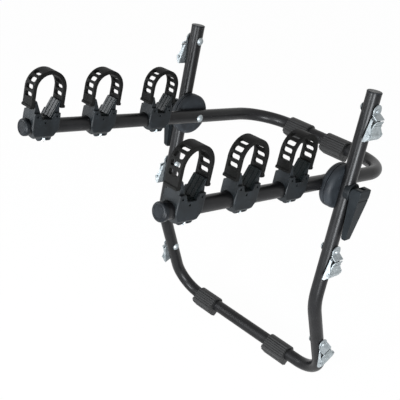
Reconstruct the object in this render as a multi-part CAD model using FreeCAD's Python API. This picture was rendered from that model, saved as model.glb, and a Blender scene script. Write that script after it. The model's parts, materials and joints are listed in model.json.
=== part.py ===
import FreeCAD, Part
import math
import os

Vector = FreeCAD.Vector

# Bike carrier for the back of a car. Millimetres, +X across the car to the
# near side, +Y toward the car, +Z up. The origin is the middle of the lower bar.

# Tubes
tube_d = 28.0
tube_wall = 1.5
upright_x = 225.2
arm_x = 183.6
upright_above = 190.3
upright_below = 248.9
leg_length = 249.0
arm_reach = 442.0
arm_behind = 230.6
upright_lean = 14.93
leg_lean = 12.23
arm_rise = 16.88
kink_bend = 120.0
bar_bend = 68.0
crossbar_bend = 90.0

# Clearances
seat_gap = 0.3
run_gap = 0.3
bore_gap = 0.3

# Plugs
upright_cap_t = 3.0
cap_insert = 14.0
arm_cap_d = 32.0
arm_cap_skirt = 8.5
arm_cap_end = 4.0

# Rubber pads
pad_length = 57.0
pad_wall = 5.0
pad_foot = 24.5
pad_ribs = 6
pad_rib_h = 2.0
pad_slit = 1.2
lower_pad_turn = 32.0
upper_pad_turn = 46.0
lower_pad_from_bend = (3.2, 24.2)
upper_pad_from_bend = (0.3, 23.6)

# Hub between each arm and upright
hub_r = 44.0
hub_round = 9.0
hub_wrap = 7.1
hub_seam = 1.6
hub_teeth = 30
tooth_w = 2.6
tooth_inner_r = 27.0
tooth_rim = 2.5
pivot_bolt_d = 8.0
pivot_head_d = 16.8
pivot_head_h = 4.6

# Saddle, cam lever and its pin
saddle_r = 17.8
saddle_wrap = 10.2
saddle_floor = 2.2
lever_pin_d = 6.0
lever_pin_half = 12.5
eye_r = 5.5
eye_half = 4.9
cam_r = 15.7
cam_to_saddle = 0.6
lever_top = 14.0
lever_bottom = 94.0
lever_top_half = 17.0
lever_bottom_half = 8.0
lever_out_top = 7.2
lever_in = 12.8
lever_tip_t = 10.0

# Cradle on the arm
cradle_from_tip = (39.5, 49.0)
cradle_reach_left = (arm_reach - cradle_from_tip[0], 270.5, 122.5)
cradle_reach_right = (arm_reach - cradle_from_tip[1], 262.0, 126.0)
collar_half = 18.0
collar_r = 22.0
cradle_under = ((-22.0, -8.0), (-12.0, -22.0), (16.0, -22.0), (24.0, -10.0))
base_half = 30.0
base_height = 2.0
wall_half = 28.2
wall_height = 22.0
root_half = 25.5
seat_half = 10.0
seat_height = 18.5
shoulder_height = 30.0
horn_height = 51.0
horn_in_half = 25.2
horn_top_half = 26.7
horn_half = 13.5
liner_t = 1.6
liner_half = 13.0
liner_ribs = 3
liner_rib_h = 0.8
cradle_bolt_d = 6.0
cradle_bolt_at = -8.5
cradle_head_d = 12.0
cradle_head_h = 2.4
nut_flats = 10.0
nut_h = 5.2
lobe_r = 9.0
lobe_t = 5.0
lobe_pitch = 18.0
recess_d = 4.6
recess_depth = 3.0

# Ladder strap over the bike tube
strap_r = 35.0
strap_t = 7.0
strap_half = 14.0
strap_centre = 72.0
strap_end = 38.0
strap_lip = 2.0
strap_hole = 20.0
strap_hole_h = 9.0
strap_pitch = 24.0
strap_leg_hole = 61.7
strap_pin_d = 2.4
strap_pin_half = 12.2
strap_pin_h = 41.0
strap_pin_in = 4.2
pocket_half = 9.0
lug_r = 2.2

# Zinc cam buckles
buckle_above = 158.0
buckle_below = -125.0
buckle_on_leg_left = -113.0
buckle_on_leg_right = -121.5
buckle_bolt_d = 6.0
buckle_head_d = 17.0
buckle_head_h = 5.0
buckle_washer_d = 18.0
buckle_washer_t = 0.8
plate_t = 1.8
plate_eye_r = 12.0
plate_shoulder = -14.0
plate_shoulder_half = 13.0
plate_end = -55.0
plate_end_half = 23.0
ear_t = 1.6
ramp_top = -5.4
ramp_low = -13.8
ramp_out = 10.4
ramp_t = 1.8
ear_low = 3.0
ear_high = 10.0
cam_pin_at = -42.0
cam_pin_up = 6.5
cam_pin_d = 4.0
cam_hub_r = 4.4
thumb_end = -15.0
thumb_up = 11.0
rivet_d = 9.6
rivet_h = 2.6

tube_r = tube_d / 2
bore_r = tube_r - tube_wall
up = Vector(0, math.sin(math.radians(upright_lean)), math.cos(math.radians(upright_lean)))
leg_up = Vector(0, -math.sin(math.radians(leg_lean)), math.cos(math.radians(leg_lean)))
kink = leg_up * leg_length
pivot = kink + up * upright_below


def rod(radius, start, end):
    run = end - start
    return Part.makeCylinder(radius, run.Length, start, run)


def rod_x(radius, x0, x1, y=0.0, z=0.0):
    return rod(radius, Vector(x0, y, z), Vector(x1, y, z))


def rod_y(radius, y0, y1, x=0.0, z=0.0):
    return rod(radius, Vector(x, y0, z), Vector(x, y1, z))


def rod_z(radius, z0, z1, x=0.0, y=0.0):
    return rod(radius, Vector(x, y, z0), Vector(x, y, z1))


def block(x0, x1, y0, y1, z0, z1):
    return Part.makeBox(x1 - x0, y1 - y0, z1 - z0, Vector(x0, y0, z0))


def prism(points, direction):
    face = Part.Face(Part.makePolygon(points + [points[0]]))
    return face.extrude(direction)


def prism_x(points, x0, x1):
    return prism([Vector(x0, y, z) for y, z in points], Vector(x1 - x0, 0, 0))


def prism_y(points, y0, y1):
    return prism([Vector(x, y0, z) for x, z in points], Vector(0, y1 - y0, 0))


def side_prism(points, half):
    return prism_x([(-s, n) for s, n in points], -half, half)


def dome(radius, height, x, way):
    ball = (radius * radius + height * height) / (2 * height)
    half_turn = math.asin(radius / ball) / 2
    middle = Vector(x + way * (height - ball + ball * math.cos(half_turn)), 0, ball * math.sin(half_turn))
    rim = Vector(x, 0, radius)
    crown = Vector(x + way * height, 0, 0)
    centre = Vector(x, 0, 0)
    arc = Part.Arc(rim, middle, crown).toShape()
    wire = Part.Wire([Part.makeLine(centre, rim), arc, Part.makeLine(crown, centre)])
    return Part.Face(wire).revolve(Vector(0, 0, 0), Vector(1, 0, 0), 360)


def hexagon(flats, z0, z1, x, y):
    corner = flats / math.sqrt(3)
    turns = [math.radians(60 * i) for i in range(6)]
    points = [Vector(x + corner * math.cos(t), y + corner * math.sin(t), z0) for t in turns]
    return prism(points, Vector(0, 0, z1 - z0))


def softened(radius, x0, x1, fillet, soft_x):
    disc = rod_x(radius, x0, x1)
    rim = [e for e in disc.Edges if e.Closed and abs(e.CenterOfMass.x - soft_x) < 0.01]
    return disc.makeFillet(fillet, rim)


def bent_rod(points, bends, radius):
    pieces = []
    start = points[0]
    for i in range(1, len(points) - 1):
        along = (points[i] - points[i - 1]).normalize()
        onward = (points[i + 1] - points[i]).normalize()
        turn = along.getAngle(onward)
        axis = along.cross(onward).normalize()
        back = bends[i - 1] * math.tan(turn / 2)
        entry = points[i] - along * back
        centre = entry + axis.cross(along) * bends[i - 1]
        disc = Part.Face(Part.Wire(Part.Circle(entry, along, radius).toShape()))
        pieces.append(rod(radius, start, entry))
        pieces.append(disc.revolve(centre, axis, math.degrees(turn)))
        start = points[i] + onward * back
    pieces.append(rod(radius, start, points[-1]))
    return pieces[0].multiFuse(pieces[1:]).removeSplitter()


def bent_tube(points, bends):
    first = (points[0] - points[1]).normalize()
    last = (points[-1] - points[-2]).normalize()
    longer = [points[0] + first] + points[1:-1] + [points[-1] + last]
    return bent_rod(points, bends, tube_r).cut(bent_rod(longer, bends, bore_r))


def placed(shape, angle, origin):
    moved = shape.copy()
    moved.rotate(Vector(0, 0, 0), Vector(1, 0, 0), angle)
    moved.translate(origin)
    return moved


def on_upright(shape):
    return placed(shape, -upright_lean, pivot)


def on_leg(shape):
    return placed(shape, leg_lean, kink)


def on_arm(shape):
    return placed(shape, -arm_rise, pivot)


def mirrored(shape):
    return shape.mirror(Vector(0, 0, 0), Vector(1, 0, 0))


def one(shape):
    solids = shape.Solids
    if len(solids) == 1:
        return solids[0]
    return Part.makeCompound(solids)


nodes = {}


def add(name, shape):
    nodes[name] = one(shape)


# Lower frame: uprights, legs and bottom bar from one tube
def lower_frame():
    left = []
    for height in (pivot + up * (upright_above - upright_cap_t), kink, Vector(0, 0, 0)):
        left.append(height + Vector(-upright_x, 0, 0))
    right = [Vector(-p.x, p.y, p.z) for p in reversed(left)]
    tube = bent_tube(left + right, [kink_bend, bar_bend, bar_bend, kink_bend])
    span = upright_x + tube_d
    holes = [on_upright(rod_x(pivot_bolt_d / 2 + bore_gap, -span, span))]
    for height in (buckle_above, buckle_below):
        holes.append(on_upright(rod_x(buckle_bolt_d / 2 + bore_gap, -span, span, 0, height)))
    for side, height in ((-1, buckle_on_leg_left), (1, buckle_on_leg_right)):
        holes.append(on_leg(rod_x(buckle_bolt_d / 2 + bore_gap, 0, side * span, 0, height)))
    return tube.cut(holes)


# Flat plug for the top of an upright
def upright_cap():
    top = upright_above
    seat = top - upright_cap_t
    head = Part.makeCone(tube_r + 0.3, tube_r - 0.7, 1.0, Vector(upright_x, 0, top - 1.0))
    head = head.fuse(rod_z(tube_r + 0.3, seat, top - 1.0, upright_x))
    return head.fuse(rod_z(bore_r - seat_gap, seat - cap_insert, seat, upright_x)).removeSplitter()


# Arm frame: two arms and the crossbar behind them, level before it is placed
def arm_frame():
    tip = arm_cap_end - arm_reach
    left = [Vector(-arm_x, tip, 0), Vector(-arm_x, arm_behind, 0)]
    right = [Vector(-p.x, p.y, p.z) for p in reversed(left)]
    tube = bent_tube(left + right, [crossbar_bend, crossbar_bend])
    holes = [rod_x(pivot_bolt_d / 2 + bore_gap, -arm_x - tube_d, arm_x + tube_d)]
    for side, reaches in ((-1, cradle_reach_left), (1, cradle_reach_right)):
        for reach in reaches:
            at = -reach - cradle_bolt_at
            holes.append(rod_z(cradle_bolt_d / 2 + bore_gap, -tube_d, tube_d, side * arm_x, at))
    return tube.cut(holes)


# Domed plug over the arm tip
def arm_cap():
    tip = -arm_reach
    shell = rod_y(arm_cap_d / 2, tip, tip + arm_cap_skirt, arm_x)
    rim = [e for e in shell.Edges if e.Closed and abs(e.CenterOfMass.y - tip) < 0.01]
    shell = shell.makeFillet(arm_cap_end * 0.9, rim)
    seat = tip + arm_cap_end
    well = rod_y(tube_r + seat_gap, seat, tip + arm_cap_skirt + 1, arm_x)
    return shell.cut(well).fuse(rod_y(bore_r - seat_gap, seat - 1, seat + cap_insert, arm_x))


def pad_centre(side, bar_half, from_bend):
    return side * (bar_half - from_bend - pad_length / 2)


# Ribbed rubber sleeve round a bar, foot toward -Y and ribs on +Z before it turns
def pad(centre, turn):
    outer = tube_r + pad_wall
    x0 = centre - pad_length / 2
    x1 = centre + pad_length / 2
    sleeve = rod_x(outer, x0, x1).fuse(block(x0, x1, -pad_foot, 0, -outer, outer))
    corners = []
    for edge in sleeve.Edges:
        mid = edge.CenterOfMass
        straight = abs(edge.Length - pad_length) < 0.01
        if straight and abs(mid.y + pad_foot) < 0.01:
            corners.append(edge)
    sleeve = sleeve.makeFillet(3.0, corners)
    pitch = (pad_foot + outer * 0.35) / pad_ribs
    ribs = []
    for i in range(pad_ribs):
        y = -pad_foot + 3.4 + i * pitch
        lower = outer - 2.5
        ribs.append(block(x0, x1, y, y + pitch * 0.55, lower, outer + pad_rib_h))
    for z in (-10.5, -3.5, 3.5, 10.5):
        ribs.append(block(x0, x1, -pad_foot - pad_rib_h, -pad_foot + 1, z - 1.6, z + 1.6))
    sleeve = sleeve.multiFuse(ribs)
    sleeve = sleeve.cut(rod_x(tube_r + seat_gap, x0 - 1, x1 + 1))
    slit = block(x0 - 1, x1 + 1, -pad_foot - 5, 0, -pad_slit / 2, pad_slit / 2)
    sleeve = sleeve.cut(slit)
    sleeve.rotate(Vector(0, 0, 0), Vector(1, 0, 0), turn)
    return sleeve


# Toothed hub half. The same shape serves arm and upright, mirrored in the seam
def hub_half():
    seam = (upright_x + arm_x) / 2
    face = seam + hub_seam / 2
    end = upright_x - tube_r + hub_wrap
    disc = softened(hub_r, face, end, hub_round, end)
    tooth_h = hub_seam / 2 - run_gap / 2
    teeth = []
    for i in range(hub_teeth):
        bar = block(face - tooth_h, face + 0.5, -tooth_w / 2, tooth_w / 2, tooth_inner_r, hub_r - tooth_rim)
        bar.rotate(Vector(0, 0, 0), Vector(1, 0, 0), 360.0 * i / hub_teeth)
        teeth.append(bar)
    half = disc.multiFuse(teeth)
    channel = rod_z(tube_r + seat_gap, -hub_r * 2, hub_r * 2, upright_x)
    return half.cut([channel, rod_x(pivot_bolt_d / 2 + bore_gap, face - 5, end + tube_r)])


def hub_upright():
    return hub_half()


def hub_arm():
    seam = (upright_x + arm_x) / 2
    half = hub_half().mirror(Vector(seam, 0, 0), Vector(1, 0, 0))
    half.rotate(Vector(0, 0, 0), Vector(1, 0, 0), 90)
    return half


saddle_face = upright_x + tube_r + saddle_floor
lever_pin_x = saddle_face + cam_to_saddle + cam_r


# Pivot bolt with a mushroom head inside the arm and an eye for the lever pin
def pivot_bolt():
    head_at = arm_x - tube_r - run_gap
    head = dome(pivot_head_d / 2, pivot_head_h, head_at, -1)
    shank = rod_x(pivot_bolt_d / 2, head_at - 1, lever_pin_x)
    eye = rod_y(eye_r, -eye_half, eye_half, lever_pin_x)
    whole = head.multiFuse([shank, eye])
    return whole.cut(rod_y(lever_pin_d / 2 + bore_gap, -eye_half - 1, eye_half + 1, lever_pin_x))


def lever_pin():
    return rod_y(lever_pin_d / 2, -lever_pin_half, lever_pin_half, lever_pin_x)


# Saddle between the upright and the lever
def hub_saddle():
    inner = upright_x + tube_r - saddle_wrap
    disc = softened(saddle_r, inner, saddle_face, 2.0, saddle_face)
    channel = rod_z(tube_r + seat_gap, -saddle_r * 2, saddle_r * 2, upright_x)
    return disc.cut([channel, rod_x(pivot_bolt_d / 2 + bore_gap, inner - 5, saddle_face + 5)])


# Cam lever, slotted on its inner side and top for the eye of the bolt
def release_lever():
    inner = lever_pin_x - lever_in
    outer = lever_pin_x + lever_out_top
    tip_in = inner + 1.3
    corner = math.sqrt(cam_r ** 2 - lever_in ** 2)
    crest = math.sqrt(cam_r ** 2 - lever_top ** 2)
    side = [
        (lever_pin_x - crest, lever_top),
        (outer - 1.5, lever_top),
        (outer, lever_top - 1.5),
        (outer + 0.4, 0),
        (tip_in + lever_tip_t, -lever_bottom + 3),
        (tip_in + lever_tip_t - 3, -lever_bottom),
        (tip_in + 1, -lever_bottom),
        (tip_in, -lever_bottom + 1),
        (inner, -corner - 3),
        (inner, corner),
    ]
    width = lever_top_half
    body = prism_y(side, -width, width)
    drum = rod_y(cam_r, -width, width, lever_pin_x)
    drum = drum.common(block(inner - 5, outer - 1.5, -width, width, -cam_r, lever_top))
    body = body.fuse(drum)
    half = lever_bottom_half
    plan = [
        Vector(0, width - 3, lever_top + 1),
        Vector(0, width, lever_top - 2),
        Vector(0, width - 0.8, -cam_r),
        Vector(0, half, -lever_bottom + 5),
        Vector(0, half - 4, -lever_bottom - 0.5),
    ]
    plan += [Vector(0, -p.y, p.z) for p in reversed(plan)]
    column = prism(plan, Vector(lever_pin_x * 2, 0, 0))
    body = body.common(column)
    slot = eye_half + run_gap + 0.1
    shank = pivot_bolt_d / 2 + 0.6
    room = eye_r + 0.6
    cuts = [rod_y(room, -slot, slot, lever_pin_x)]
    cuts.append(block(inner - 5, lever_pin_x, -slot, slot, -shank, room))
    cuts.append(block(lever_pin_x - room, lever_pin_x + shank, -slot, slot, 0, lever_top + 2))
    cuts.append(block(inner - 5, lever_pin_x, -slot, slot, 0, lever_top + 2))
    cuts.append(rod_y(lever_pin_d / 2 + bore_gap, -lever_pin_half - run_gap, width + 1, lever_pin_x))
    groove = block(outer - 1.0, outer + 2, -width - 1, width + 1, -8.0, -6.2)
    cuts.append(groove)
    return body.cut(cuts)


def horn_inner(height):
    share = (height - seat_height) / (horn_height - seat_height)
    return seat_half + share * (horn_in_half - seat_half)


def horn_outer(height):
    low, low_half, high, high_half = wall_height, wall_half, strap_end, root_half
    if height > strap_end:
        low, low_half, high, high_half = strap_end, root_half, horn_height, horn_top_half
    return low_half + (high_half - low_half) * (height - low) / (high - low)


def cradle_side(height):
    right = [(base_half, base_height), (wall_half, wall_height)]
    if height > strap_end:
        right.append((root_half, strap_end))
    right += [(horn_outer(height), height), (horn_inner(height), height), (seat_half, seat_height)]
    left = [(-s, n) for s, n in reversed(right)]
    return right + left + list(cradle_under)


strap_pin_at = strap_r - strap_pin_in


# Cradle: collar on the arm, trough and two horns, strap lug on the tip side
def cradle_body():
    reach = base_half + 10
    wide = side_prism(cradle_side(shoulder_height), collar_half)
    narrow = side_prism(cradle_side(horn_height), horn_half)
    body = wide.fuse(narrow)
    round_under = rod_y(collar_r, -reach, reach)
    square_over = block(-collar_half, collar_half, -reach, reach, 0, horn_height)
    body = body.common(round_under.fuse(square_over))
    plan = block(-collar_half, collar_half, -base_half, base_half, -collar_r - 5, horn_height + 5)
    tall = collar_r + horn_height + 10
    plan = plan.makeFillet(4.5, [e for e in plan.Edges if abs(e.Length - tall) < 0.01])
    body = body.common(plan)
    bolt_y = -cradle_bolt_at
    lobes = []
    for side in (-1, 1):
        y = bolt_y + side * lobe_pitch / 2
        lobes.append(rod_y(lobe_r, y - lobe_t / 2, y + lobe_t / 2, 0, -collar_r + 3))
    pin_y = -strap_pin_at
    lug_half = pocket_half - run_gap - 0.1
    lug = block(-lug_half, lug_half, pin_y, 1.5 - root_half, strap_pin_h - lug_r, strap_pin_h + lug_r)
    nose = strap_r - strap_t - run_gap
    hook = block(-lug_half, lug_half, root_half - 1.5, nose, strap_pin_h - 1, strap_pin_h + 3)
    body = body.multiFuse(lobes + [lug, rod_x(lug_r, -lug_half, lug_half, pin_y, strap_pin_h), hook])
    bore = tube_r + seat_gap
    cuts = [rod_y(bore, -reach, reach)]
    for side in (-1, 1):
        cone = Part.makeCone(bore + 2, bore, 2, Vector(0, side * base_half, 0), Vector(0, -side, 0))
        cuts.append(cone)
    cuts.append(rod_z(cradle_bolt_d / 2 + bore_gap, -collar_r - 10, seat_height, 0, bolt_y))
    sunk = seat_height - cradle_head_h - 0.2
    cuts.append(rod_z(cradle_head_d / 2 + 0.5, sunk, shoulder_height, 0, bolt_y))
    flat = lobe_pitch / 2 - lobe_t / 2
    spot = -collar_r + 1
    cuts.append(block(-flat, flat, bolt_y - flat, bolt_y + flat, -collar_r - 10, spot))
    for s, n in ((20.5, 24.0), (-20.5, 24.0), (3.0, 13.0)):
        cuts.append(rod_x(recess_d / 2, collar_half - recess_depth, collar_half + 1, -s, n))
    cuts.append(rod_x(strap_pin_d / 2 + bore_gap, -strap_half, strap_half, pin_y, strap_pin_h))
    return body.cut(cuts)


# Ribbed liner in the trough
def cradle_liner():
    rise = horn_height - seat_height
    lean = horn_in_half - seat_half
    length = math.hypot(rise, lean)

    def inner_line(depth):
        top = horn_height - 0.6
        s = horn_inner(top) - depth * rise / length
        n = top + depth * lean / length
        floor = seat_height + depth
        foot = s - (n - floor) * lean / rise
        return (s, n), (foot, floor)

    def outline(depth):
        top, foot = inner_line(depth)
        back = (horn_inner(horn_height - 0.6), horn_height - 0.6)
        right = [(seat_half, seat_height), back, top, foot]
        left = [(-s, n) for s, n in reversed(right)]
        return right + left

    liner = side_prism(outline(liner_t), liner_half)
    pitch = liner_half * 2 / liner_ribs
    ribs = []
    for i in range(liner_ribs):
        x = -liner_half + (i + 0.5) * pitch
        points = [(-s, n) for s, n in outline(liner_t + liner_rib_h)]
        ribs.append(prism_x(points, x - 1.5, x + 1.5))
    return liner.multiFuse(ribs)


def cradle_bolt():
    y = -cradle_bolt_at
    top = seat_height - 0.2
    head = rod_z(cradle_head_d / 2, top - cradle_head_h, top, 0, y)
    end = -collar_r - 7
    return head.fuse(rod_z(cradle_bolt_d / 2, end, top - 1, 0, y))


def cradle_nut():
    y = -cradle_bolt_at
    top = -collar_r + 1
    nut = hexagon(nut_flats, top - nut_h, top, 0, y)
    return nut.cut(rod_z(cradle_bolt_d / 2 + 0.1, top - nut_h - 1, top + 1, 0, y))


def strap_pin():
    return rod_x(strap_pin_d / 2, -strap_pin_half, strap_pin_half, -strap_pin_at, strap_pin_h)


def ladder_hole(depth0, depth1):
    x = strap_hole / 2
    y = strap_hole_h / 2
    c = 2.0
    corner = [(x, y - c), (x - c, y), (c - x, y), (-x, y - c), (-x, c - y), (c - x, -y), (x - c, -y), (x, c - y)]
    return prism([Vector(a, b, depth0) for a, b in corner], Vector(0, 0, depth1 - depth0))


# Ladder strap: an arch with rungs, hollowed at the pinned end for the lug
def cradle_strap():
    inner = strap_r - strap_t
    centre = strap_centre
    arch = rod_x(strap_r, -strap_half, strap_half, 0, centre)
    arch = arch.cut(rod_x(inner, -strap_half - 1, strap_half + 1, 0, centre))
    arch = arch.common(block(-strap_half, strap_half, -strap_r, strap_r, centre, centre + strap_r))
    parts = []
    foot = strap_end
    lip = strap_r + strap_lip
    for side in (-1, 1):
        leg = [(side * inner, centre), (side * strap_r, centre), (side * strap_r, foot), (side * inner, foot)]
        parts.append(side_prism(leg, strap_half))
        edge = [
            (side * (strap_r - 1), foot),
            (side * (lip - 1), foot),
            (side * lip, foot + 1),
            (side * lip, foot + 4),
            (side * strap_r, foot + 6),
            (side * (strap_r - 1), foot + 6),
        ]
        parts.append(side_prism(edge, strap_half))
    strap = arch.multiFuse(parts).removeSplitter()
    cuts = []
    for side, first in ((1, 1.5), (-1, 2.5)):
        turns = [first + i for i in range(int(4.5 - first))]
        for turn in turns:
            hole = ladder_hole(inner - 4, strap_r + 4)
            hole.rotate(Vector(0, 0, 0), Vector(1, 0, 0), side * turn * strap_pitch)
            hole.translate(Vector(0, 0, centre))
            cuts.append(hole)
    hole = ladder_hole(-lip - 2, lip + 2)
    hole.rotate(Vector(0, 0, 0), Vector(1, 0, 0), 90)
    hole.translate(Vector(0, 0, strap_leg_hole))
    cuts.append(hole)
    pin_y = -strap_pin_at
    reach = lug_r + run_gap + 0.1
    pocket_top = strap_pin_h + lug_r + 1.8
    cuts.append(block(-pocket_half, pocket_half, pin_y - reach, 2 - inner, foot - 5, pocket_top))
    pin_half = strap_pin_half + run_gap
    cuts.append(rod_x(strap_pin_d / 2 + bore_gap, -pin_half, pin_half, pin_y, strap_pin_h))
    return strap.cut(cuts)


outer_face = upright_x + tube_r
plate_in = outer_face + buckle_washer_t + run_gap
plate_out = plate_in + plate_t


# Carriage bolt of a buckle, with its riveted outer end
def buckle_bolt():
    inner_face = upright_x - tube_r
    head = dome(buckle_head_d / 2, buckle_head_h, inner_face, -1)
    rivet_at = plate_out + run_gap
    shank = rod_x(buckle_bolt_d / 2, inner_face - 1, rivet_at + 1)
    rivet = dome(rivet_d / 2, rivet_h, rivet_at, 1)
    return head.multiFuse([shank, rivet])


def buckle_washer():
    ring = rod_x(buckle_washer_d / 2, outer_face, outer_face + buckle_washer_t)
    return ring.cut(rod_x(buckle_bolt_d / 2 + bore_gap, outer_face - 1, outer_face + 3))


def plate_half(a):
    share = (plate_shoulder - a) / (plate_shoulder - plate_end)
    return plate_shoulder_half + share * (plate_end_half - plate_shoulder_half)


cam_pin_x = plate_out + cam_pin_up


# Buckle frame: eye plate, two bent ears and the riveted cam pin
def buckle_frame():
    outline = [
        (plate_shoulder_half - 3.6, plate_shoulder + 4),
        (plate_shoulder_half, plate_shoulder),
        (plate_end_half, plate_end),
    ]
    outline += [(-w, a) for w, a in reversed(outline)]
    points = [Vector(plate_in, w, a) for w, a in outline]
    plate = prism(points, Vector(plate_t, 0, 0))
    plate = plate.fuse(rod_x(plate_eye_r, plate_in, plate_out))
    lean = math.degrees(math.atan2(plate_end_half - plate_shoulder_half, plate_shoulder - plate_end))
    rise = cam_pin_at - plate_shoulder
    ears = []
    for side in (-1, 1):
        run = 1.0 / math.cos(math.radians(lean))
        top = plate_out
        ear = prism_y([
            (plate_in, -1.0),
            (top + ear_low, -1.0),
            (top + ear_low + 0.6, rise * 0.35 * run),
            (top + ear_high - 0.8, (rise + 4) * run),
            (top + ear_high, (rise + 1) * run),
            (top + ear_high, (rise - 2) * run),
            (top + ear_high - 1.2, (rise - 4.5) * run),
            (top + ear_low, (plate_end - plate_shoulder + 1) * run),
            (plate_in, (plate_end - plate_shoulder) * run),
        ], -ear_t, 0)
        ear.rotate(Vector(0, 0, 0), Vector(1, 0, 0), lean)
        ear.translate(Vector(0, plate_shoulder_half, plate_shoulder))
        if side < 0:
            ear = ear.mirror(Vector(0, 0, 0), Vector(0, 1, 0))
        ears.append(ear)
    ramp = prism_y([
        (plate_out - 1, ramp_top),
        (plate_out, ramp_top),
        (plate_out + ramp_out - 0.6, ramp_low + ramp_t),
        (plate_out + ramp_out, ramp_low + ramp_t * 0.5),
        (plate_out + ramp_out - 0.4, ramp_low),
        (plate_out + ramp_out - 1.6, ramp_low),
        (plate_out, ramp_top - ramp_t),
        (plate_out - 1, ramp_top - ramp_t),
    ], -plate_shoulder_half, plate_shoulder_half)
    frame = plate.multiFuse(ears + [ramp])
    reach = plate_end_half + 5
    cuts = [rod_x(buckle_bolt_d / 2 + bore_gap, plate_in - 1, plate_out + 1)]
    cuts.append(rod_y(cam_pin_d / 2 + bore_gap, -reach, reach, cam_pin_x, cam_pin_at))
    frame = frame.cut(cuts)
    tip = plate_half(cam_pin_at) + 1.1
    pin = rod_y(cam_pin_d / 2, -tip, tip, cam_pin_x, cam_pin_at)
    for side in (-1, 1):
        y0 = min(side * tip, side * (tip + 1.0))
        pin = pin.fuse(rod_y(cam_pin_d / 2 + 1.3, y0, y0 + 1.0, cam_pin_x, cam_pin_at))
    return Part.makeCompound([frame, pin])


# Cam lever of a buckle: thumb plate above the pin and toothed nose below
def buckle_cam():
    x = cam_pin_x
    a = cam_pin_at
    floor = plate_out + 0.5
    tip = plate_out + thumb_up
    arm = [
        (x - 3.0, a + 2.5),
        (plate_out + 5.2, a + 12),
        (plate_out + 6.4, a + 20),
        (tip - 1.6, thumb_end - 1.5),
        (tip, thumb_end),
        (tip + 0.6, thumb_end - 2.4),
        (plate_out + 9.3, thumb_end - 4.4),
        (plate_out + 10.0, thumb_end - 5.0),
        (plate_out + 9.4, thumb_end - 6.2),
        (plate_out + 8.4, thumb_end - 6.6),
        (plate_out + 8.0, thumb_end - 9.0),
        (plate_out + 9.0, thumb_end - 9.6),
        (plate_out + 8.6, thumb_end - 10.8),
        (plate_out + 7.6, thumb_end - 11.2),
        (plate_out + 7.4, a + 12),
        (x + 3.2, a + 3.0),
        (x + 4.2, a - 1.5),
        (x + 1.5, a - 8.0),
        (floor + 2.2, a - 12.0),
        (floor + 0.6, a - 11.6),
        (floor + 1.0, a - 10.2),
        (floor, a - 9.4),
        (floor + 0.8, a - 7.8),
        (floor + 0.2, a - 6.8),
        (x - 3.6, a - 2.6),
    ]
    half = plate_half(a)
    reach = half + 6
    body = prism_y(arm, -reach, reach).fuse(rod_y(cam_hub_r, -reach, reach, x, a))
    plan = []
    for at, extra in ((thumb_end + 3, -2.0), (thumb_end - 3, 0.0), (a + 6, 0.0), (a + 5.9, 0.0), (a - 14, 0.0)):
        limit = min(plate_half(at), half)
        plan.append(Vector(plate_in, limit - ear_t / math.cos(0.24) - 0.7 + extra, at))
    plan.append(Vector(plate_in, plan[-1].y, a - 15.0))
    plan += [Vector(plate_in, -p.y, p.z) for p in reversed(plan)]
    body = body.common(prism(plan, Vector(plate_end_half * 2, 0, 0)))
    return body.cut(rod_y(cam_pin_d / 2 + bore_gap, -reach, reach, x, a))


def pair(shape):
    return Part.makeCompound([shape, mirrored(shape)])


add("lower_frame", lower_frame())
add("upright_caps", on_upright(pair(upright_cap())))
for word, side, from_bend in zip(("left", "right"), (-1, 1), lower_pad_from_bend):
    centre = pad_centre(side, upright_x - bar_bend, from_bend)
    add("lower_pad_" + word, pad(centre, lower_pad_turn))
add("arm_frame", on_arm(arm_frame()))
add("arm_caps", on_arm(pair(arm_cap())))
for word, side, from_bend in zip(("left", "right"), (-1, 1), upper_pad_from_bend):
    centre = pad_centre(side, arm_x - crossbar_bend, from_bend)
    sleeve = pad(centre, upper_pad_turn + arm_rise)
    sleeve.translate(Vector(0, arm_behind, 0))
    add("upper_pad_" + word, on_arm(sleeve))
for word, flip in (("left", mirrored), ("right", lambda shape: shape)):
    add("hub_upright_" + word, on_upright(flip(hub_upright())))
    add("hub_arm_" + word, on_arm(flip(hub_arm())))
    add("hub_saddle_" + word, on_upright(flip(hub_saddle())))
    add("release_lever_" + word, on_upright(flip(release_lever())))
add("pivot_bolts", on_upright(pair(pivot_bolt())))
add("lever_pins", on_upright(pair(lever_pin())))

groups = {"cradle_bolts": [], "cradle_nuts": [], "strap_pins": []}
single = {"cradle": cradle_body(), "liner": cradle_liner(), "strap": cradle_strap()}
shared = {"cradle_bolts": cradle_bolt(), "cradle_nuts": cradle_nut(), "strap_pins": strap_pin()}
for word, side, reaches in (("left", -1, cradle_reach_left), ("right", 1, cradle_reach_right)):
    for number, reach in enumerate(reaches, 1):
        seat = Vector(side * arm_x, -reach, 0)
        for kind, shape in single.items():
            copy = shape.copy()
            copy.translate(seat)
            add("%s_%s_%d" % (kind, word, number), on_arm(copy))
        for kind, shape in shared.items():
            copy = shape.copy()
            copy.translate(seat)
            groups[kind].append(on_arm(copy))
for kind, shapes in groups.items():
    add(kind, Part.makeCompound(shapes))

bolts = []
washers = []
sides = (("left", mirrored, buckle_on_leg_left), ("right", lambda shape: shape, buckle_on_leg_right))
for word, flip, low in sides:
    for level, place, height in (("top", on_upright, buckle_above), ("mid", on_upright, buckle_below), ("low", on_leg, low)):
        made = []
        for shape in (buckle_frame(), buckle_cam(), buckle_bolt(), buckle_washer()):
            shape = flip(shape)
            shape.translate(Vector(0, 0, height))
            made.append(place(shape))
        add("buckle_%s_%s" % (word, level), made[0])
        add("cam_%s_%s" % (word, level), made[1])
        bolts.append(made[2])
        washers.append(made[3])
add("buckle_bolts", Part.makeCompound(bolts))
add("buckle_washers", Part.makeCompound(washers))

os.makedirs("parts", exist_ok=True)
for name, shape in nodes.items():
    shape.exportStep("parts/" + name + ".step")
    print(name, len(shape.Solids), shape.isValid(), round(shape.Volume))
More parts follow.
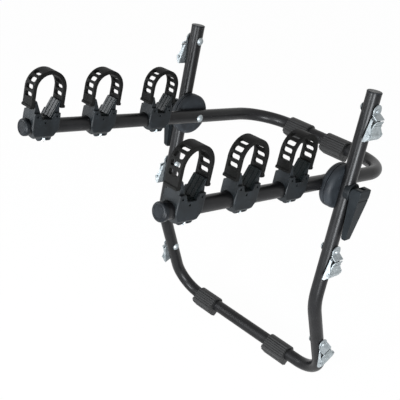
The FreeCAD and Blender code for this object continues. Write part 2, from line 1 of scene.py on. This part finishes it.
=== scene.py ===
import json
import math
import bpy
import bmesh
from mathutils import Matrix, Vector


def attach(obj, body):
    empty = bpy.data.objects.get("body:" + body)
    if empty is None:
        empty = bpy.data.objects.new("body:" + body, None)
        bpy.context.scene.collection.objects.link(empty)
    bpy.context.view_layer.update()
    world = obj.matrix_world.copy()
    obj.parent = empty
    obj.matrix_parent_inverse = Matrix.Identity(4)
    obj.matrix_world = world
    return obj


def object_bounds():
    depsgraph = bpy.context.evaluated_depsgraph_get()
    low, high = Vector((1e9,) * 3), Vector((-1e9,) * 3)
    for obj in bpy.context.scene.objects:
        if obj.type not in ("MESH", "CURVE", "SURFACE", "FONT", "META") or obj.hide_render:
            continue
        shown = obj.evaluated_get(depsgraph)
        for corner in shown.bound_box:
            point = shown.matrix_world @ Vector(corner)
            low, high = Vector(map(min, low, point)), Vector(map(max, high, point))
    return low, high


# Bike carrier in its studio. Metres, +X across the car, +Y toward the car, +Z up
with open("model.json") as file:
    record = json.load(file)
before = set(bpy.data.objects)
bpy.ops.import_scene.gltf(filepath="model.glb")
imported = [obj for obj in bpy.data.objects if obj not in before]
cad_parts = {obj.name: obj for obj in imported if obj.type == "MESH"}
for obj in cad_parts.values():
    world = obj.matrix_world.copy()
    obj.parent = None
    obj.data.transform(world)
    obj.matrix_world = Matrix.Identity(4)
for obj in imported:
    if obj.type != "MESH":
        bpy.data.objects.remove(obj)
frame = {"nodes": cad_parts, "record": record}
cadBox = [list(map(float, corner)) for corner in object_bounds()]
nodes = frame["nodes"]
print("frame loaded:", len(nodes), "nodes")

perMetre = 1000   # millimetres


def toLinear(hexText):
    channels = [int(hexText[i:i + 2], 16) / 255 for i in (1, 3, 5)]
    linear = [c / 12.92 if c <= 0.04045 else ((c + 0.055) / 1.055) ** 2.4 for c in channels]
    return (*linear, 1.0)


# Adds a node. Settings are its own properties, an input is a value or a socket to link
def addNode(tree, kind, inputs=None, **settings):
    node = tree.nodes.new(kind)
    for key, value in settings.items():
        setattr(node, key, value)
    for key, value in (inputs or {}).items():
        if isinstance(value, bpy.types.NodeSocket):
            tree.links.new(value, node.inputs[key])
        else:
            node.inputs[key].default_value = value
    return node


def newMaterial(name):
    material = bpy.data.materials.new(name)
    material.use_nodes = True
    material.node_tree.nodes.clear()
    return material, material.node_tree


# What the finishes share. The spans are the parts of the drift noise that carry the change
# of shade and of roughness, because noise seldom reaches 0 or 1
pattern = {"grainDetail": 3.0, "grainRough": 0.6, "driftDetail": 4.0, "driftRough": 0.55,
           "shadeSpan": (0.35, 0.65), "roughSpan": (0.3, 0.7), "edgeSamples": 4, "specular": 0.5}


# In a look, grain is one speck, drift one patch of shade, height the depth of the grain and
# edge the radius at which a moulded corner catches light, all in millimetres
def surface(name, look):
    material, tree = newMaterial(name)
    place = addNode(tree, "ShaderNodeTexCoord").outputs["Object"]
    grain = addNode(tree, "ShaderNodeTexNoise",
                    {"Vector": place, "Scale": perMetre / look["grain"],
                     "Detail": pattern["grainDetail"], "Roughness": pattern["grainRough"]})
    drift = addNode(tree, "ShaderNodeTexNoise",
                    {"Vector": place, "Scale": perMetre / look["drift"],
                     "Detail": pattern["driftDetail"], "Roughness": pattern["driftRough"]})
    shade = addNode(tree, "ShaderNodeMapRange",
                    {"Value": drift.outputs["Fac"],
                     "From Min": pattern["shadeSpan"][0], "From Max": pattern["shadeSpan"][1]})
    # Inputs 0, 6 and 7 of a colour mix are its factor and its two colours, and output 2 the colour
    colour = addNode(tree, "ShaderNodeMix",
                     {0: shade.outputs["Result"], 6: toLinear(look["dark"]),
                      7: toLinear(look["light"])}, data_type="RGBA")
    rough = addNode(tree, "ShaderNodeMapRange",
                    {"Value": drift.outputs["Fac"],
                     "From Min": pattern["roughSpan"][0], "From Max": pattern["roughSpan"][1],
                     "To Min": look["rough"][0], "To Max": look["rough"][1]})
    relief = {"Height": grain.outputs["Fac"], "Strength": look["strength"],
              "Distance": look["height"] / perMetre}
    if "edge" in look:
        edge = addNode(tree, "ShaderNodeBevel", {"Radius": look["edge"] / perMetre},
                       samples=pattern["edgeSamples"])
        relief["Normal"] = edge.outputs["Normal"]
    bump = addNode(tree, "ShaderNodeBump", relief)
    shader = addNode(tree, "ShaderNodeBsdfPrincipled",
                     {"Base Color": colour.outputs[2], "Roughness": rough.outputs["Result"],
                      "Normal": bump.outputs["Normal"], "Metallic": look.get("metal", 0.0),
                      "Specular IOR Level": look.get("specular", pattern["specular"])})
    addNode(tree, "ShaderNodeOutputMaterial", {"Surface": shader.outputs["BSDF"]})
    return material


# Semi-gloss powder coat, sprayed and baked on bent steel tube: a soft bright line down each
# tube. Its orange peel is finer than the render shows, so it is drawn at 1.6 mm
powderCoat = {"dark": "#0f0f10", "light": "#151516", "grain": 1.6, "drift": 40,
              "rough": (0.31, 0.37), "strength": 0.04, "height": 0.08, "specular": 0.19}
# Moulded polyethylene of the tube plugs: a slightly waxy black with soft rims. The real mould
# grain is too fine to show, so it is drawn at 0.9 mm
plugPlastic = {"dark": "#0c0e11", "light": "#14171a", "grain": 0.9, "drift": 12,
               "rough": (0.3, 0.42), "strength": 0.2, "height": 0.1, "edge": 1.4,
               "specular": 0.15}
# Glass-filled nylon of the cradles, moulded in a spark-eroded tool: dull and nearly black, its
# corners a little paler. The real grain is about 0.1 mm, too fine to show, so it is drawn at 0.9
cradleNylon = {"dark": "#0d1012", "light": "#15191c", "grain": 0.9, "drift": 25,
               "rough": (0.4, 0.52), "strength": 0.25, "height": 0.12, "edge": 1.0,
               "specular": 0.17}
# The same nylon on the toothed hubs: a greyer, chalkier black
hubNylon = {"dark": "#171a1e", "light": "#212529", "grain": 0.9, "drift": 25,
            "rough": (0.5, 0.62), "strength": 0.25, "height": 0.12, "edge": 1.2,
            "specular": 0.22}
# The same nylon on the release levers: darker than the hubs, as smooth as the cradles
leverNylon = {"dark": "#0d1114", "light": "#14191c", "grain": 0.9, "drift": 25,
              "rough": (0.4, 0.52), "strength": 0.2, "height": 0.12, "edge": 1.2,
              "specular": 0.13}
# Moulded rubber of the ladder straps: matt, soft-cornered, the deepest black of the carrier.
# Its bloom is finer than the render shows, so its grain is drawn at 1.2 mm
ladderRubber = {"dark": "#080808", "light": "#0e0e0d", "grain": 1.2, "drift": 18,
                "rough": (0.45, 0.6), "strength": 0.2, "height": 0.15, "edge": 0.9,
                "specular": 0.08}
# Extruded rubber of the car pads and the buckle washers: greyer than the tube, a little dusty,
# with its fine extrusion grain drawn at 1 mm
padRubber = {"dark": "#141414", "light": "#1f1f1f", "grain": 1.0, "drift": 15,
             "rough": (0.45, 0.6), "strength": 0.3, "height": 0.2, "edge": 0.5,
             "specular": 0.4}
# Soft rubber liners of the cradles, smooth from the mould: an oily sheen where a tube lies
linerRubber = {"dark": "#090d0e", "light": "#0f1516", "grain": 1.0, "drift": 12,
               "rough": (0.22, 0.32), "strength": 0.08, "height": 0.1, "specular": 0.14}
# Zinc plate on pressed steel: pale cool grey, clouded in patches of 9 mm. The crystals of the
# plating are too fine to show, so they are drawn at 0.8 mm
zincPlate = {"dark": "#80878a", "light": "#9ea4a6", "grain": 0.8, "drift": 9,
             "rough": (0.4, 0.52), "strength": 0.15, "height": 0.08, "metal": 0.7, "edge": 0.4}
# Zinc die casting of the cams: duller and grainier than the plate beside it
castZinc = {"dark": "#7f8688", "light": "#9ca3a5", "grain": 0.9, "drift": 7,
            "rough": (0.42, 0.55), "strength": 0.25, "height": 0.1, "metal": 0.7, "edge": 0.5}

finishes = {
    "black_tube": surface("powderCoatSemiGlossBlack", powderCoat),
    "black_plug": surface("mouldedPolyethylenePlug", plugPlastic),
    "pad_rubber": surface("extrudedRibbedRubber", padRubber),
    "hub_plastic": surface("mouldedGlassNylonHub", hubNylon),
    "lever_plastic": surface("mouldedGlassNylonLever", leverNylon),
    "cradle_plastic": surface("mouldedGlassNylonCradle", cradleNylon),
    "liner_rubber": surface("softLinerRubber", linerRubber),
    "strap_rubber": surface("mouldedBlackRubber", ladderRubber),
    "washer_rubber": surface("blackRubberWasher", padRubber),
    "zinc_steel": surface("zincPlatedSteel", zincPlate),
    "buckle_zinc": surface("zincPlatedPressing", zincPlate),
    "cam_zinc": surface("castZincCam", castZinc),
}
for entry in frame["record"]["subparts"]:
    target = nodes[entry["node"]]
    finish = entry["material_slot"]
    if "saddle" in entry["node"]:
        finish = "cradle_plastic"   # the saddles are as dark as the cradles, not as the hubs
    target.data.materials.clear()
    target.data.materials.append(finishes[finish])
print("finishes assigned:", len(finishes))


# Raised bead round the end face of each arm plug. The face stands square to the arm at its tip
plugBead = {"armX": 0.1836, "faceY": -0.411575, "faceZ": 0.61219,
            "armAxis": (0, -0.956911, 0.290368),
            "radius": 0.0112, "thick": 0.0008, "sides": 10, "steps": 56}
toArm = Vector(plugBead["armAxis"]).to_track_quat("Z", "Y").to_matrix().to_4x4()
beads = bmesh.new()
for side in (-1, 1):
    ring = bmesh.new()
    section = bmesh.ops.create_circle(ring, segments=plugBead["sides"],
                                      radius=plugBead["thick"],
                                      matrix=Matrix.Rotation(math.radians(90), 4, "X"))
    bmesh.ops.translate(ring, verts=section["verts"], vec=(plugBead["radius"], 0, 0))
    bmesh.ops.spin(ring, geom=ring.verts[:] + ring.edges[:], cent=(0, 0, 0), axis=(0, 0, 1),
                   angle=math.radians(360), steps=plugBead["steps"], use_merge=True)
    bmesh.ops.recalc_face_normals(ring, faces=ring.faces)
    toTip = Matrix.Translation((side * plugBead["armX"], plugBead["faceY"], plugBead["faceZ"]))
    bmesh.ops.transform(ring, verts=ring.verts, matrix=toTip @ toArm)
    oneRing = bpy.data.meshes.new("oneRing")
    ring.to_mesh(oneRing)
    ring.free()
    beads.from_mesh(oneRing)
    bpy.data.meshes.remove(oneRing)
for face in beads.faces:
    face.smooth = True
beadMesh = bpy.data.meshes.new("armPlugBeads")
beads.to_mesh(beadMesh)
beads.free()
beadMesh.materials.append(finishes["black_plug"])
armPlugBeads = bpy.data.objects.new("armPlugBeads", beadMesh)
bpy.context.scene.collection.objects.link(armPlugBeads)
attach(armPlugBeads, "arms")
print("plug beads made:", len(beadMesh.polygons), "faces")


# The camera stands where the photograph was taken. Lens and sensor are in millimetres
camera = {"place": (0.8864, -0.9988, 1.2392), "forward": (-0.602, 0.576, -0.552),
          "lens": 67.65, "sensor": 36, "far": 50}
forward = Vector(camera["forward"]).normalized()
right = forward.cross(Vector((0, 0, 1))).normalized()
upward = right.cross(forward)
cameraData = bpy.data.cameras.new("studioCamera")
cameraData.lens = camera["lens"]
cameraData.sensor_width = camera["sensor"]
cameraData.clip_end = camera["far"]
cameraObject = bpy.data.objects.new("studioCamera", cameraData)
turn = Matrix((right, upward, -forward)).transposed().to_4x4()
cameraObject.matrix_world = Matrix.Translation(camera["place"]) @ turn
bpy.context.scene.collection.objects.link(cameraObject)
bpy.context.scene.camera = cameraObject
print("camera placed")


# Floor and world. Both show white to the camera, to gloss and through glass, and the floor
# keeps a faint shadow
studio = {"floorGap": 0.004, "floorSize": 12.0, "floorCells": 2, "floorColour": "#ededed",
          "floorRough": 0.9, "floorSpecular": 0.0, "floorGlow": 0.98, "world": 0.3,
          "whiteStrength": 1.0, "white": (1, 1, 1, 1)}


def seenDirectly(tree):
    path = addNode(tree, "ShaderNodeLightPath")
    seen = path.outputs["Is Camera Ray"]
    for ray in ("Is Glossy Ray", "Is Transmission Ray"):
        either = addNode(tree, "ShaderNodeMath", {0: seen, 1: path.outputs[ray]},
                         operation="MAXIMUM")
        seen = either.outputs[0]
    return seen


floorMesh = bmesh.new()
bmesh.ops.create_grid(floorMesh, x_segments=studio["floorCells"],
                      y_segments=studio["floorCells"], size=studio["floorSize"])
floorData = bpy.data.meshes.new("studioFloor")
floorMesh.to_mesh(floorData)
floorMesh.free()
floorData.transform(Matrix.Translation((0, 0, cadBox[0][2] - studio["floorGap"])))
floor = bpy.data.objects.new("studioFloor", floorData)
bpy.context.scene.collection.objects.link(floor)
floorPaint, tree = newMaterial("paleStudioFloor")
shader = addNode(tree, "ShaderNodeBsdfPrincipled",
                 {"Base Color": toLinear(studio["floorColour"]),
                  "Roughness": studio["floorRough"],
                  "Specular IOR Level": studio["floorSpecular"]})
glow = addNode(tree, "ShaderNodeEmission",
               {"Color": studio["white"], "Strength": studio["whiteStrength"]})
share = addNode(tree, "ShaderNodeMath", {0: seenDirectly(tree), 1: studio["floorGlow"]},
                operation="MULTIPLY")
mixed = addNode(tree, "ShaderNodeMixShader",
                {0: share.outputs[0], 1: shader.outputs[0], 2: glow.outputs[0]})
addNode(tree, "ShaderNodeOutputMaterial", {"Surface": mixed.outputs[0]})
floorData.materials.append(floorPaint)

world = bpy.data.worlds.new("studioWorld")
world.use_nodes = True
tree = world.node_tree
tree.nodes.clear()
strength = addNode(tree, "ShaderNodeMapRange",
                   {"Value": seenDirectly(tree), "To Min": studio["world"],
                    "To Max": studio["whiteStrength"]})
sky = addNode(tree, "ShaderNodeBackground",
              {"Color": studio["white"], "Strength": strength.outputs["Result"]})
addNode(tree, "ShaderNodeOutputWorld", {"Surface": sky.outputs["Background"]})
bpy.context.scene.world = world
print("floor and world made")

# Lamps a few metres off, so that each tube shows a soft line of light. Power is in watts
daylight = (0.93, 0.965, 1.0)   # a little cooler than white, as the lines on the tubes are
lamps = {
    "keyStrip": {"place": (0.2, -2.2, 2.3), "aim": (0, 0, 0.4),
                 "size": (1.8, 0.25), "power": 20},
    "leftStrip": {"place": (0.02, -2.0, 0.82), "aim": (0.2, 0, 0.6),
                  "size": (0.5, 0.45), "power": 48},
    "frontStrip": {"place": (1.5, -1.3, 0.42), "aim": (0.2, 0, 0.5),
                   "size": (0.4, 0.9), "power": 64},
    "farBox": {"place": (-1.4, -1.5, 0.85), "aim": (0.2, 0, 0.65),
               "size": (0.6, 0.5), "power": 9},
    "topBox": {"place": (-1.4, -1.05, 1.35), "aim": (-0.18, -0.3, 0.62),
               "size": (0.35, 0.28), "power": 5},
}
for name, lamp in lamps.items():
    lampData = bpy.data.lights.new(name, "AREA")
    lampData.shape = "RECTANGLE"
    lampData.size, lampData.size_y = lamp["size"]
    lampData.energy = lamp["power"]
    lampData.color = daylight
    lampObject = bpy.data.objects.new(name, lampData)
    aim = Vector(lamp["aim"]) - Vector(lamp["place"])
    turn = aim.to_track_quat("-Z", "Y").to_matrix().to_4x4()
    lampObject.matrix_world = Matrix.Translation(lamp["place"]) @ turn
    bpy.context.scene.collection.objects.link(lampObject)
bpy.context.scene.view_settings.view_transform = "Standard"
print("lamps hung:", len(lamps))
